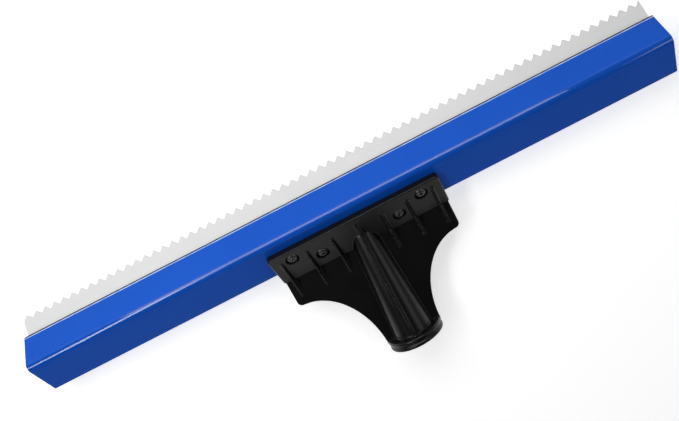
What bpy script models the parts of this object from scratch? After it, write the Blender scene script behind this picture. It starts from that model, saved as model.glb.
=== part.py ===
"""Notched floor squeegee head: a folded sheet holder, a notched rubber blade and a moulded handle bracket.

Sizes are in metres. Every piece is modelled in the holder's section frame, which the empty "section" then
turns so that the tool lies on its blade tips and on the rim of its socket, with +Z up:
  X  along the holder, 0 at its middle
  Y  along the top wall, from the bend's sharp corner (0) to the rear edge
  Z  along the front wall, from the bend's sharp corner (0) to the fold that the blade leaves
The outer faces are Y = 0 (front wall) and Z = 0 (top wall), and the inside is at positive Y and Z.
"""

from math import atan2, cos, floor, pi, radians, sin, sqrt

import bmesh
import bpy

GAP = 0.0003  # between touching pieces
CUT = 0.001  # by which a cutter passes the faces that it cuts
ROOT = 0.003  # by which a joined shape reaches into its neighbour

# Holder, one folded steel sheet
HOLDER_LENGTH = 0.610
TOP_WALL = 0.0403
FRONT_WALL = 0.0355
SHEET = 0.002
BEND_RADIUS = 0.005  # outside
FOLD_INSIDE = 0.0003  # inside radius of the tight fold at the blade
RETURN_FLANGE = 0.0215
LEAN = radians(21.7)  # blade and return flange, from the front wall

# Blade
BLADE_THICKNESS = 0.005
BLADE_REACH = 0.0218  # from the fold's centre to the tips
BLADE_GRIP = 0.0200  # from the fold's centre to the hidden edge
BLADE_MARGIN = 0.0017  # least distance between the blade's end and the holder's end
PITCH = 0.00912
NOTCH_DEPTH = 0.0044
TIP_FLAT = 0.0006
ROOT_FLAT = 0.0004

# Clamp
STRIP_THICKNESS = 0.003
STRIP_WIDTH = 0.016
STRIP_EDGE = 0.0004
STRIP_END_MARGIN = 0.002
CLAMP_LINE = 0.0110  # from the fold's centre to the row of clamp screws
CLAMP_SCREWS = 7
CLAMP_END_DISTANCE = 0.020
CLAMP_SHANK_RADIUS = 0.0025
CLAMP_HEX_FLATS = 0.008
CLAMP_HEX_HEIGHT = 0.0038
CLAMP_COLLAR_RADIUS = 0.0052
CLAMP_COLLAR_HEIGHT = 0.0012
CLAMP_PROTRUSION = 0.0017
THREAD_CHAMFER = 0.0008  # on the end of every screw

# Handle bracket, one moulding
FLANGE_WIDTH = 0.162
FLANGE_HEIGHT = 0.0357
FLANGE_THICKNESS = 0.0062
FLANGE_CORNER = 0.0025
FLANGE_EDGE = 0.0006
SEAT_ALLOWANCE = 0.0012  # extra on the blank's back, taken off where it seats on the holder
OVERHANG = 0.0077  # of the flange past the holder's rear edge
LIP_THICKNESS = 0.0035
LIP_HEIGHT = 0.0055
LIP_WIDTH = 0.156
PLATE_THICKNESS = 0.0044
PLATE_EDGE = 0.0012
PLATE_HALF_WIDTH = 0.0797
PLATE_CORNER_HEIGHT = 0.0250  # where the fan's side meets its scallop
PLATE_CORNER_RADIUS = 0.0045
SCALLOP_WIDTH = 0.0504
SCALLOP_HEIGHT = 0.070
NECK_HALF_WIDTH = 0.0263
CORNER_ARC = radians(75)  # ends just before the scallop
SCALLOP_ARC = radians(-97)  # starts at the corner
SOCKET_SLOPE = radians(36.4)  # socket axis and fan plate, from the top wall
SOCKET_TOP = -0.0125  # along the socket axis, from the flange's lower edge
SOCKET_TOP_RADIUS = 0.0120
SOCKET_END_RADIUS = 0.0185  # where the cone meets the rim
SOCKET_TOP_ROUNDING = 0.003
RIM_START = 0.0910
RIM_END = 0.1000
RIM_RADIUS = 0.0260
RIM_GROOVE_DEPTH = 0.0012
RIM_GROOVE_WIDTH = 0.0012
RIM_ROUNDING = 0.0010
BORE_MOUTH_RADIUS = 0.0142
BORE_END_RADIUS = 0.0105
BORE_DEPTH = 0.092
FIN_THICKNESS = 0.002
FIN_START = 0.0072  # from the flange's upper edge
FIN_HEIGHT = 0.0190  # above the fan plate, at the rim
RIB_THICKNESS = 0.002
RIB_PITCH = 0.0240
RIB_START = 0.0082  # from the flange's upper edge
RIB_REACH = 0.0190  # along the fan plate
RIBS_A_SIDE = 3

# Bracket screws, washers and lock nuts
OUTER_SCREW_X = 0.0616
INNER_SCREW_X = 0.0370
OUTER_SCREW_ABOVE_EDGE = 0.0173
INNER_SCREW_ABOVE_EDGE = 0.0060
SCREW_SHANK_RADIUS = 0.0024
SCREW_HEAD_RADIUS = 0.00485
SCREW_HEAD_HEIGHT = 0.0033
SCREW_HEAD_SIDE = 0.0012  # straight part of the head, below its dome
SCREW_PROTRUSION = 0.0015
POCKET_RADIUS = 0.0060
POCKET_DEPTH = 0.0032
POCKET_CLEAR = 0.012  # way for a driver above the flange
RECESS_LENGTH = 0.0050
RECESS_WIDTH = 0.0011
RECESS_DEPTH = 0.0017
RECESS_TURN = radians(25)  # from one screw to the next
WASHER_RADIUS = 0.0050
WASHER_THICKNESS = 0.001
NUT_FLATS = 0.008
NUT_HEX_HEIGHT = 0.0038
NUT_COLLAR_RADIUS = 0.0036
NUT_COLLAR_HEIGHT = 0.0012

# Places that follow from the sizes
FOLD_OUTSIDE = FOLD_INSIDE + SHEET
FOLD_CENTRE = (FOLD_OUTSIDE, FRONT_WALL - FOLD_OUTSIDE)
BLADE_FRONT = -(FOLD_OUTSIDE + GAP)  # in the blade frame, whose +Z faces the front wall
BLADE_BACK = BLADE_FRONT - BLADE_THICKNESS
STRIP_FRONT = BLADE_BACK - GAP
STRIP_BACK = STRIP_FRONT - STRIP_THICKNESS
HALF_TEETH = floor(2 * (HOLDER_LENGTH - 2 * BLADE_MARGIN) / PITCH)
BLADE_LENGTH = HALF_TEETH * PITCH / 2
FLANGE_BOTTOM = TOP_WALL + OVERHANG
FLANGE_TOP = FLANGE_BOTTOM - FLANGE_HEIGHT
FLANGE_BACK = -GAP
FLANGE_FRONT = FLANGE_BACK - FLANGE_THICKNESS
POCKET_FLOOR = FLANGE_FRONT + POCKET_DEPTH
SOCKET_AXIS_ORIGIN = (
    FLANGE_BOTTOM + sin(SOCKET_SLOPE) * PLATE_THICKNESS / 2,
    FLANGE_FRONT + cos(SOCKET_SLOPE) * PLATE_THICKNESS / 2,
)
SCREW_PLACES = [
    (-OUTER_SCREW_X, TOP_WALL - OUTER_SCREW_ABOVE_EDGE),
    (-INNER_SCREW_X, TOP_WALL - INNER_SCREW_ABOVE_EDGE),
    (INNER_SCREW_X, TOP_WALL - INNER_SCREW_ABOVE_EDGE),
    (OUTER_SCREW_X, TOP_WALL - OUTER_SCREW_ABOVE_EDGE),
]
CLAMP_PLACES = [
    (i / (CLAMP_SCREWS - 1) - 0.5) * (HOLDER_LENGTH - 2 * CLAMP_END_DISTANCE) for i in range(CLAMP_SCREWS)
]


# --- scene, materials and objects ---


def clear_scene():
    for obj in list(bpy.data.objects):
        bpy.data.objects.remove(obj)


def new_collection(name):
    collection = bpy.data.collections.new(name)
    bpy.context.scene.collection.children.link(collection)
    return collection


def new_material(name, colour, roughness, metallic):
    material = bpy.data.materials.new(name)
    material.use_nodes = True
    shader = material.node_tree.nodes["Principled BSDF"]
    shader.inputs["Base Color"].default_value = (*colour, 1)
    shader.inputs["Roughness"].default_value = roughness
    shader.inputs["Metallic"].default_value = metallic
    return material


def new_frame(name, parent=None, place=(0, 0, 0), turn=(0, 0, 0)):
    """An empty that carries pieces."""
    frame = bpy.data.objects.new(name, None)
    PARTS.objects.link(frame)
    frame.parent = parent
    frame.location = place
    frame.rotation_euler = turn
    return frame


def add(name, data, frame, place=(0, 0, 0), turn=(0, 0, 0), collection=None):
    obj = bpy.data.objects.new(name, data)
    (collection or PARTS).objects.link(obj)
    obj.parent = frame
    obj.location = place
    obj.rotation_euler = turn
    return obj


def finish(obj, material, smooth_angle=radians(35)):
    obj.data.materials.clear()
    obj.data.materials.append(material)
    obj.data.shade_smooth()
    obj.data.set_sharp_from_angle(angle=smooth_angle)
    return obj


def combine(obj, tool, operation):
    """Keeps the tool as a hidden helper and applies a Boolean with it."""
    tool.hide_render = True
    tool.display_type = "WIRE"
    modifier = obj.modifiers.new(f"{operation.lower()}_{tool.name}", "BOOLEAN")
    modifier.operation = operation
    modifier.solver = "EXACT"
    modifier.object = tool


# --- shapes, each a mesh ---


def evaluated_mesh(obj):
    """The mesh of a curve or of an object with modifiers, welded and facing out. The object is removed."""
    bpy.context.view_layer.update()
    graph = bpy.context.evaluated_depsgraph_get()
    mesh = bpy.data.meshes.new_from_object(obj.evaluated_get(graph))
    mesh.name = obj.name
    bpy.data.objects.remove(obj)
    shape = bmesh.new()
    shape.from_mesh(mesh)
    bmesh.ops.remove_doubles(shape, verts=shape.verts, dist=1e-6)
    bmesh.ops.recalc_face_normals(shape, faces=shape.faces)
    shape.to_mesh(mesh)
    shape.free()
    return mesh


def slab(name, outline, thickness, edge=0.0):
    """A flat outline in XY, extruded to both sides of Z = 0, with its edges rounded by edge."""
    curve = bpy.data.curves.new(name, "CURVE")
    curve.dimensions = "2D"
    curve.fill_mode = "BOTH"
    curve.extrude = thickness / 2
    spline = curve.splines.new("POLY")
    spline.points.add(len(outline) - 1)
    for point, (x, y) in zip(spline.points, outline):
        point.co = (x, y, 0, 1)
    spline.use_cyclic_u = True
    obj = bpy.data.objects.new(name, curve)
    CUTTERS.objects.link(obj)
    mesh = evaluated_mesh(obj)
    return rounded(mesh, edge) if edge else mesh


def box(name, low, high, edge=0.0):
    shape = bmesh.new()
    bmesh.ops.create_cube(shape, size=1)
    for vertex in shape.verts:
        vertex.co = [a + (b - a) * (t + 0.5) for a, b, t in zip(low, high, vertex.co)]
    mesh = bpy.data.meshes.new(name)
    shape.to_mesh(mesh)
    shape.free()
    return rounded(mesh, edge) if edge else mesh


def rounded(mesh, edge, segments=2):
    """The mesh with every edge sharper than 50 degrees rounded."""
    obj = bpy.data.objects.new(mesh.name, mesh)
    CUTTERS.objects.link(obj)
    bevel = obj.modifiers.new("round", "BEVEL")
    bevel.width = edge
    bevel.segments = segments
    bevel.limit_method = "ANGLE"
    bevel.angle_limit = radians(50)
    return evaluated_mesh(obj)


def turned(name, profile, steps=32):
    """A closed turned shape about Z. The profile is (radius, z) points; one with no point on the axis is a ring."""
    mesh = bpy.data.meshes.new(name)
    ring = all(radius > 0 for radius, _ in profile)
    edges = [(i, i + 1) for i in range(len(profile) - 1)]
    if ring:
        edges.append((len(profile) - 1, 0))
    mesh.from_pydata([(radius, 0, z) for radius, z in profile], edges, [])
    obj = bpy.data.objects.new(name, mesh)
    CUTTERS.objects.link(obj)
    screw = obj.modifiers.new("turn", "SCREW")
    screw.steps = screw.render_steps = steps
    screw.use_merge_vertices = True
    screw.merge_threshold = 1e-6
    return evaluated_mesh(obj)


def cylinders(name, places, radius, low, high, segments=24):
    """Upright cylinders from z = low to z = high at each (x, y), in one mesh."""
    shape = bmesh.new()
    for x, y in places:
        made = bmesh.ops.create_cone(
            shape, cap_ends=True, segments=segments, radius1=radius, radius2=radius, depth=high - low
        )
        bmesh.ops.translate(shape, verts=made["verts"], vec=(x, y, (low + high) / 2))
    mesh = bpy.data.meshes.new(name)
    shape.to_mesh(mesh)
    shape.free()
    return mesh


def arc(centre, radius, start, end, steps):
    """Points on an arc, or on a quarter of an ellipse where radius is a pair."""
    wide, high = radius if isinstance(radius, tuple) else (radius, radius)
    angles = [start + (end - start) * i / steps for i in range(steps + 1)]
    return [(centre[0] + wide * cos(a), centre[1] + high * sin(a)) for a in angles]


def mirrored(right_side):
    """The outline whose right half is given from its top to its bottom."""
    return right_side + [(-x, y) for x, y in reversed(right_side)]


def hexagon_radius(flats):
    return flats / sqrt(3)


def screw_end(radius, end):
    """The last points of a screw's profile, with a chamfer, at z = end."""
    return [(radius, end - THREAD_CHAMFER), (radius - THREAD_CHAMFER, end), (0, end)]


# --- holder ---


def holder_section():
    """The folded sheet's section in (Y, Z): its outer side from the rear edge to the return flange, then back."""
    bend = (BEND_RADIUS, BEND_RADIUS)
    along = (sin(LEAN), -cos(LEAN))
    across = (cos(LEAN), sin(LEAN))

    def flange_end(offset):
        return tuple(c + RETURN_FLANGE * a + offset * n for c, a, n in zip(FOLD_CENTRE, along, across))

    outer = [(TOP_WALL, 0), *arc(bend, BEND_RADIUS, 1.5 * pi, pi, 8)]
    outer += arc(FOLD_CENTRE, FOLD_OUTSIDE, pi, LEAN, 10)
    inner = arc(FOLD_CENTRE, FOLD_INSIDE, LEAN, pi, 4)
    inner += arc(bend, BEND_RADIUS - SHEET, pi, 1.5 * pi, 6)
    return [*outer, flange_end(FOLD_OUTSIDE), flange_end(FOLD_INSIDE), *inner, (TOP_WALL, SHEET)]


def make_frame_channel():
    channel = add("frame_channel", slab("frame_channel", holder_section(), HOLDER_LENGTH), section, turn=ACROSS)
    screw_holes = cylinders("screw_holes", SCREW_PLACES, SCREW_SHANK_RADIUS + GAP, -CUT, SHEET + CUT)
    combine(channel, add("screw_holes", screw_holes, section, collection=CUTTERS), "DIFFERENCE")
    places = [(x, -CLAMP_LINE) for x in CLAMP_PLACES]
    clamp_holes = cylinders(
        "flange_clamp_holes", places, CLAMP_SHANK_RADIUS + GAP, -FOLD_OUTSIDE - CUT, CUT
    )
    combine(channel, add("flange_clamp_holes", clamp_holes, blade_frame, collection=CUTTERS), "DIFFERENCE")
    finish(channel, BLUE_PAINT)


# --- blade and clamp, in the blade frame: +Y out along the blade, +Z towards the front wall ---


def blade_outline():
    """Teeth along +Y, from a notch at the left end to a tip at the right end."""
    left = -BLADE_LENGTH / 2
    root = BLADE_REACH - NOTCH_DEPTH
    points = [(left, -BLADE_GRIP), (left, root)]
    for i in range(1, HALF_TEETH + 1):
        middle = left + i * PITCH / 2
        flat, height = (TIP_FLAT, BLADE_REACH) if i % 2 else (ROOT_FLAT, root)
        points.append((middle - flat / 2, height))
        points.append((min(middle + flat / 2, BLADE_LENGTH / 2), height))
    points[2:2] = [(left + ROOT_FLAT / 2, root)]
    points.append((BLADE_LENGTH / 2, -BLADE_GRIP))
    return points


def make_notched_blade():
    middle = (BLADE_FRONT + BLADE_BACK) / 2
    mesh = slab("notched_blade", blade_outline(), BLADE_THICKNESS)
    blade = add("notched_blade", mesh, blade_frame, place=(0, 0, middle))
    places = [(x, -CLAMP_LINE) for x in CLAMP_PLACES]
    holes = cylinders("blade_holes", places, CLAMP_SHANK_RADIUS + GAP, BLADE_BACK - CUT, BLADE_FRONT + CUT)
    combine(blade, add("blade_holes", holes, blade_frame, collection=CUTTERS), "DIFFERENCE")
    finish(blade, GREY_RUBBER)


def make_clamp_strip():
    half = BLADE_LENGTH / 2 - STRIP_END_MARGIN
    low = (-half, -CLAMP_LINE - STRIP_WIDTH / 2, STRIP_BACK)
    high = (half, -CLAMP_LINE + STRIP_WIDTH / 2, STRIP_FRONT)
    strip = add("clamp_strip", box("clamp_strip", low, high, STRIP_EDGE), blade_frame)
    places = [(x, -CLAMP_LINE) for x in CLAMP_PLACES]
    holes = cylinders("strip_holes", places, CLAMP_SHANK_RADIUS + GAP, STRIP_BACK - CUT, STRIP_FRONT + CUT)
    combine(strip, add("strip_holes", holes, blade_frame, collection=CUTTERS), "DIFFERENCE")
    finish(strip, BRIGHT_STEEL)


def make_clamp_screws():
    """Hexagon-head screws with a collar, put in from behind the strip, their ends past the return flange."""
    seat = STRIP_BACK - GAP
    end = -FOLD_INSIDE + CLAMP_PROTRUSION
    bevel = CLAMP_COLLAR_HEIGHT / 2
    shank = turned(
        "clamp_screw",
        [
            (0, seat - CLAMP_COLLAR_HEIGHT),
            (CLAMP_COLLAR_RADIUS - bevel, seat - CLAMP_COLLAR_HEIGHT),
            (CLAMP_COLLAR_RADIUS, seat - bevel),
            (CLAMP_COLLAR_RADIUS, seat),
            (CLAMP_SHANK_RADIUS, seat),
            *screw_end(CLAMP_SHANK_RADIUS, end),
        ],
        steps=20,
    )
    hexagon = cylinders(
        "clamp_hexagon",
        [(0, 0)],
        hexagon_radius(CLAMP_HEX_FLATS),
        seat - CLAMP_COLLAR_HEIGHT - CLAMP_HEX_HEIGHT,
        seat - bevel,
        segments=6,
    )
    for number, x in enumerate(CLAMP_PLACES, 1):
        place = (x, -CLAMP_LINE, 0)
        screw = add(f"clamp_screw_{number}", shank, blade_frame, place=place)
        head = add(f"clamp_hexagon_{number}", hexagon, blade_frame, place=place, collection=CUTTERS)
        combine(screw, head, "UNION")
        finish(screw, BRIGHT_STEEL)


# --- handle bracket ---


def fan_outline():
    """Right half of the fan plate from its top to the rim, in (X, distance along the socket axis)."""
    scallop = (NECK_HALF_WIDTH + SCALLOP_WIDTH, PLATE_CORNER_HEIGHT + SCALLOP_HEIGHT)
    corner = (PLATE_HALF_WIDTH - PLATE_CORNER_RADIUS, PLATE_CORNER_HEIGHT - PLATE_CORNER_RADIUS)
    side = [(PLATE_HALF_WIDTH, -ROOT), *arc(corner, PLATE_CORNER_RADIUS, 0, CORNER_ARC, 5)]
    curve = arc(scallop, (SCALLOP_WIDTH, SCALLOP_HEIGHT), SCALLOP_ARC, -pi, 20)
    return side + curve + [(NECK_HALF_WIDTH, RIM_START + ROOT)]


def socket_outer_profile():
    """(radius, distance along the axis) from the rounded top to the mouth."""
    top = (SOCKET_TOP_RADIUS - SOCKET_TOP_ROUNDING, SOCKET_TOP + SOCKET_TOP_ROUNDING)
    groove = (RIM_START + RIM_END - RIM_GROOVE_WIDTH) / 2
    bands = []
    for start, end in ((RIM_START, groove), (groove + RIM_GROOVE_WIDTH, RIM_END)):
        bands += [
            (RIM_RADIUS - RIM_ROUNDING, start),
            (RIM_RADIUS, start + RIM_ROUNDING),
            (RIM_RADIUS, end - RIM_ROUNDING),
            (RIM_RADIUS - RIM_ROUNDING, end),
        ]
    bands.insert(4, (RIM_RADIUS - RIM_GROOVE_DEPTH, groove))
    bands.insert(5, (RIM_RADIUS - RIM_GROOVE_DEPTH, groove + RIM_GROOVE_WIDTH))
    return [
        (0, SOCKET_TOP),
        *arc(top, SOCKET_TOP_ROUNDING, -pi / 2, 0, 4),
        (SOCKET_END_RADIUS, RIM_START),
        *bands,
        (0, RIM_END),
    ]


def fin_outline():
    """(Y, Z) of the fin that runs from the flange over the cone to the rim."""
    end = RIM_START + RIM_ROUNDING / 2
    return [
        (FLANGE_TOP + FIN_START, FLANGE_FRONT),
        on_socket(end, PLATE_THICKNESS / 2 + FIN_HEIGHT),
        on_socket(end, SOCKET_TOP_RADIUS / 2),
        on_socket(SOCKET_TOP / 2, SOCKET_TOP_RADIUS / 2),
        (FLANGE_TOP + FIN_START, FLANGE_FRONT + FLANGE_THICKNESS / 2),
    ]


def rib_outline():
    """(Y, Z) of a gusset between the flange and the fan plate."""
    return [
        (FLANGE_TOP + RIB_START, FLANGE_FRONT),
        on_socket(RIB_REACH, PLATE_THICKNESS / 2),
        on_socket(RIB_REACH, 0),
        (FLANGE_BOTTOM - ROOT, FLANGE_FRONT + FLANGE_THICKNESS / 2),
        (FLANGE_TOP + RIB_START, FLANGE_FRONT + FLANGE_THICKNESS / 2),
    ]


def on_socket(along, height):
    """The (Y, Z) point at this distance along the socket axis and this height above it, to the visible side."""
    return (
        SOCKET_AXIS_ORIGIN[0] + along * cos(SOCKET_SLOPE) - height * sin(SOCKET_SLOPE),
        SOCKET_AXIS_ORIGIN[1] - along * sin(SOCKET_SLOPE) - height * cos(SOCKET_SLOPE),
    )


def flange_outline():
    """Right half of the flange in (X, Y), with rounded corners, from its upper to its lower edge."""
    edge = FLANGE_WIDTH / 2 - FLANGE_CORNER
    return [
        *arc((edge, FLANGE_TOP + FLANGE_CORNER), FLANGE_CORNER, -pi / 2, 0, 4),
        (FLANGE_WIDTH / 2, FLANGE_BOTTOM),
    ]


def make_handle_bracket():
    blank = FLANGE_THICKNESS + SEAT_ALLOWANCE
    flange = slab("handle_bracket", mirrored(flange_outline()), blank, FLANGE_EDGE)
    bracket = add("handle_bracket", flange, section, place=(0, 0, FLANGE_FRONT + blank / 2))

    def join(name, mesh, frame, place=(0, 0, 0), turn=(0, 0, 0)):
        combine(bracket, add(name, mesh, frame, place, turn, CUTTERS), "UNION")

    def cut(name, mesh, frame, place=(0, 0, 0), turn=(0, 0, 0)):
        combine(bracket, add(name, mesh, frame, place, turn, CUTTERS), "DIFFERENCE")

    lip_low = (-LIP_WIDTH / 2, TOP_WALL + GAP, FLANGE_BACK - FLANGE_THICKNESS / 2)
    lip_high = (LIP_WIDTH / 2, TOP_WALL + GAP + LIP_THICKNESS, LIP_HEIGHT)
    join("lip", box("lip", lip_low, lip_high), section)
    join("fan_plate", slab("fan_plate", mirrored(fan_outline()), PLATE_THICKNESS, PLATE_EDGE), socket_frame)
    join("socket", turned("socket", socket_outer_profile(), 48), socket_frame, turn=(-pi / 2, 0, 0))
    join("fin", slab("fin", fin_outline(), FIN_THICKNESS), section, turn=ACROSS)
    for number in range(1, RIBS_A_SIDE + 1):
        for side in (-1, 1):
            name = f"rib_{side * number}"
            place = (side * number * RIB_PITCH, 0, 0)
            join(name, slab(name, rib_outline(), RIB_THICKNESS), section, place, ACROSS)

    seat_low = (-FLANGE_WIDTH, -BEND_RADIUS, FLANGE_BACK)
    seat_high = (FLANGE_WIDTH, TOP_WALL + GAP, FRONT_WALL)
    cut("holder_seat", box("holder_seat", seat_low, seat_high), section)

    bore_end = RIM_END - BORE_DEPTH
    taper = (BORE_MOUTH_RADIUS - BORE_END_RADIUS) / BORE_DEPTH
    bore = [
        (0, bore_end),
        (BORE_END_RADIUS, bore_end),
        (BORE_MOUTH_RADIUS + taper * CUT, RIM_END + CUT),
        (0, RIM_END + CUT),
    ]
    cut("bore", turned("bore", bore, 40), socket_frame, turn=(-pi / 2, 0, 0))
    pockets = cylinders("pockets", SCREW_PLACES, POCKET_RADIUS, FLANGE_FRONT - POCKET_CLEAR, POCKET_FLOOR, 28)
    cut("pockets", pockets, section)
    holes = cylinders(
        "bracket_holes", SCREW_PLACES, SCREW_SHANK_RADIUS + GAP, POCKET_FLOOR - CUT, FLANGE_BACK + CUT
    )
    cut("bracket_holes", holes, section)
    finish(bracket, BLACK_PLASTIC)


# --- bracket screws, washers and nuts, in the section frame: heads towards -Z, nuts inside the holder ---


def make_bracket_screws():
    seat = POCKET_FLOOR - GAP
    nut_end = SHEET + WASHER_THICKNESS + NUT_HEX_HEIGHT + NUT_COLLAR_HEIGHT + 2 * GAP
    end = nut_end + SCREW_PROTRUSION
    dome_height = SCREW_HEAD_HEIGHT - SCREW_HEAD_SIDE
    dome = [
        (SCREW_HEAD_RADIUS * sin(angle), seat - SCREW_HEAD_SIDE - dome_height * cos(angle))
        for angle in (radians(15 * i) for i in range(7))
    ]
    profile = [
        *dome,
        (SCREW_HEAD_RADIUS, seat),
        (SCREW_SHANK_RADIUS, seat),
        *screw_end(SCREW_SHANK_RADIUS, end),
    ]
    shape = turned("bracket_screw", profile, 28)
    top = seat - SCREW_HEAD_HEIGHT
    bars = [(RECESS_LENGTH / 2, RECESS_WIDTH / 2), (RECESS_WIDTH / 2, RECESS_LENGTH / 2)]
    for number, (x, y) in enumerate(SCREW_PLACES, 1):
        turned_in = (0, 0, number * RECESS_TURN)
        screw = add(f"bracket_screw_{number}", shape, section, place=(x, y, 0), turn=turned_in)
        for bar, (wide, high) in enumerate(bars, 1):
            name = f"recess_{number}_{bar}"
            mesh = box(name, (-wide, -high, top - CUT), (wide, high, top + RECESS_DEPTH))
            combine(screw, add(name, mesh, section, (x, y, 0), turned_in, CUTTERS), "DIFFERENCE")
        finish(screw, BLACK_STEEL)


def make_bracket_washers():
    hole = SCREW_SHANK_RADIUS + GAP
    low = SHEET + GAP
    high = low + WASHER_THICKNESS
    ring = turned("bracket_washer", [(hole, low), (WASHER_RADIUS, low), (WASHER_RADIUS, high), (hole, high)], 28)
    for number, (x, y) in enumerate(SCREW_PLACES, 1):
        finish(add(f"bracket_washer_{number}", ring, section, place=(x, y, 0)), BRIGHT_STEEL)


def make_bracket_nuts():
    low = SHEET + WASHER_THICKNESS + 2 * GAP
    high = low + NUT_HEX_HEIGHT
    hexagon = cylinders("bracket_nut", [(0, 0)], hexagon_radius(NUT_FLATS), low, high, segments=6)
    collar = cylinders("nut_collar", [(0, 0)], NUT_COLLAR_RADIUS, high - CUT, high + NUT_COLLAR_HEIGHT)
    hole = cylinders("nut_hole", [(0, 0)], SCREW_SHANK_RADIUS + GAP, low - CUT, high + NUT_COLLAR_HEIGHT + CUT)
    for number, (x, y) in enumerate(SCREW_PLACES, 1):
        nut = add(f"bracket_nut_{number}", hexagon, section, place=(x, y, 0))
        parts = (("collar", collar, "UNION"), ("hole", hole, "DIFFERENCE"))
        for name, mesh, operation in parts:
            combine(nut, add(f"nut_{name}_{number}", mesh, section, (x, y, 0), (0, 0, 0), CUTTERS), operation)
        finish(nut, BRIGHT_STEEL)


# --- how the tool lies ---


def blade_tip(face):
    """The (Y, Z) of the tips on one face of the blade."""
    return (
        FOLD_CENTRE[0] - BLADE_REACH * sin(LEAN) - face * cos(LEAN),
        FOLD_CENTRE[1] + BLADE_REACH * cos(LEAN) - face * sin(LEAN),
    )


def across(point):
    """Where a (Y, Z) point ends up along world Y, before the tool is centred."""
    return point[0] * cos(turn) - point[1] * sin(turn)


def level(point):
    """Where a (Y, Z) point ends up along world Z, before the tool is set down."""
    return point[0] * sin(turn) + point[1] * cos(turn)


clear_scene()
PARTS = new_collection("notched_squeegee")
CUTTERS = new_collection("helpers")
CUTTERS.hide_render = True

BLUE_PAINT = new_material("blue_paint", (0.012, 0.105, 0.60), 0.32, 0.0)
GREY_RUBBER = new_material("grey_rubber", (0.72, 0.72, 0.71), 0.75, 0.0)
BLACK_PLASTIC = new_material("black_plastic", (0.012, 0.012, 0.013), 0.42, 0.0)
BLACK_STEEL = new_material("black_steel", (0.05, 0.05, 0.052), 0.38, 1.0)
BRIGHT_STEEL = new_material("bright_steel", (0.60, 0.60, 0.58), 0.35, 1.0)

ACROSS = (pi / 2, 0, pi / 2)  # turns an outline drawn in XY so that it lies in the section's YZ plane

# The turn about X that puts the tips' rear edge and the rim on one level plane
tip = blade_tip(BLADE_BACK)
rim = on_socket(RIM_START + RIM_ROUNDING, -RIM_RADIUS)
turn = pi - atan2(rim[1] - tip[1], rim[0] - tip[0])
front_end = across(blade_tip(BLADE_FRONT))
rear_end = min(across(on_socket(RIM_END, side * (RIM_RADIUS - RIM_ROUNDING))) for side in (-1, 1))
section = new_frame("section", place=(0, -(front_end + rear_end) / 2, -level(tip)), turn=(turn, 0, 0))
blade_frame = new_frame("blade_frame", section, (0, *FOLD_CENTRE), (pi / 2 + LEAN, 0, 0))
socket_frame = new_frame("socket_frame", section, (0, *SOCKET_AXIS_ORIGIN), (-SOCKET_SLOPE, 0, 0))

make_frame_channel()
make_notched_blade()
make_clamp_strip()
make_clamp_screws()
make_handle_bracket()
make_bracket_screws()
make_bracket_washers()
make_bracket_nuts()
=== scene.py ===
"""Looks of a notched floor squeegee head: enamelled holder, rubber blade, moulded bracket and fasteners.

Sizes are in metres. Shapes are drawn in one of three frames, set by the matrices SECTION, BLADE and SOCKET:
  section  X along the holder, Y along its top wall from the bend to the rear edge, Z down its front wall
  blade    X along the holder, Y out along the blade, Z towards the front wall
  socket   X along the holder, Y along the socket's axis to its mouth, Z away from its outer side
"""

from math import atan2, ceil, cos, floor, pi, radians, sin, sqrt, tau

import bmesh
import bpy
from mathutils import Matrix, Vector


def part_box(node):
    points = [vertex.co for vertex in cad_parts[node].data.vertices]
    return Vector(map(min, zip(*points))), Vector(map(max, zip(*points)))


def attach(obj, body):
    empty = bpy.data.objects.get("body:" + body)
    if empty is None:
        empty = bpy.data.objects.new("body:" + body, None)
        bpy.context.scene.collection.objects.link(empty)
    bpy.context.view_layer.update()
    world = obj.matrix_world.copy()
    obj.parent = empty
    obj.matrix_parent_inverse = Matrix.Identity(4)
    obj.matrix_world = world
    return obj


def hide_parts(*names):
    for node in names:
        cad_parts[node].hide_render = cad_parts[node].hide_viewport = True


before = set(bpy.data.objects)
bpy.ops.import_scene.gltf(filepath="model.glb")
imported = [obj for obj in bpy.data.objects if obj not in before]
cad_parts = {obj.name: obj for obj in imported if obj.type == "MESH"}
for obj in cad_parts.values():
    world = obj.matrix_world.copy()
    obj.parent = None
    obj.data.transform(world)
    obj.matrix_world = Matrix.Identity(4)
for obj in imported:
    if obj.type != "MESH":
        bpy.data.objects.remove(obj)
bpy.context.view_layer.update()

GAP = 0.0003  # between touching pieces
CUT = 0.001  # by which a cutter passes the faces that it cuts
ROOT = 0.003  # by which a joined shape reaches into its neighbour
WELD = 0.000002  # points nearer than this are one

# Holder, one folded steel sheet
holder_low, holder_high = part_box("frame_channel")
HOLDER_LENGTH = holder_high.x - holder_low.x
TOP_WALL = 0.0403
FRONT_WALL = 0.0355
SHEET = 0.002
BEND_RADIUS = 0.005
FOLD_INSIDE = 0.0003
RETURN_FLANGE = 0.0215
LEAN = radians(21.7)
SHEET_EDGE = 0.00035
ROUNDING_MARGIN = 0.00001  # inside a rounding's ends
BEND_DULL = 0.0005  # height of the part of the bend, next to the top wall, that doesn't shine
FOLD_MARGIN = 0.0018  # of the wall beside the fold, painted pale there as a painted highlight

# Blade
BLADE_THICKNESS = 0.005
BLADE_REACH = 0.0218
BLADE_GRIP = 0.0200
BLADE_MARGIN = 0.0017
PITCH = 0.00912
NOTCH_DEPTH = 0.0044
TIP_FLAT = 0.0006
ROOT_FLAT = 0.0004
TOOTH_ROUNDING = 0.00035
BLADE_EDGE = 0.00022

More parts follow.
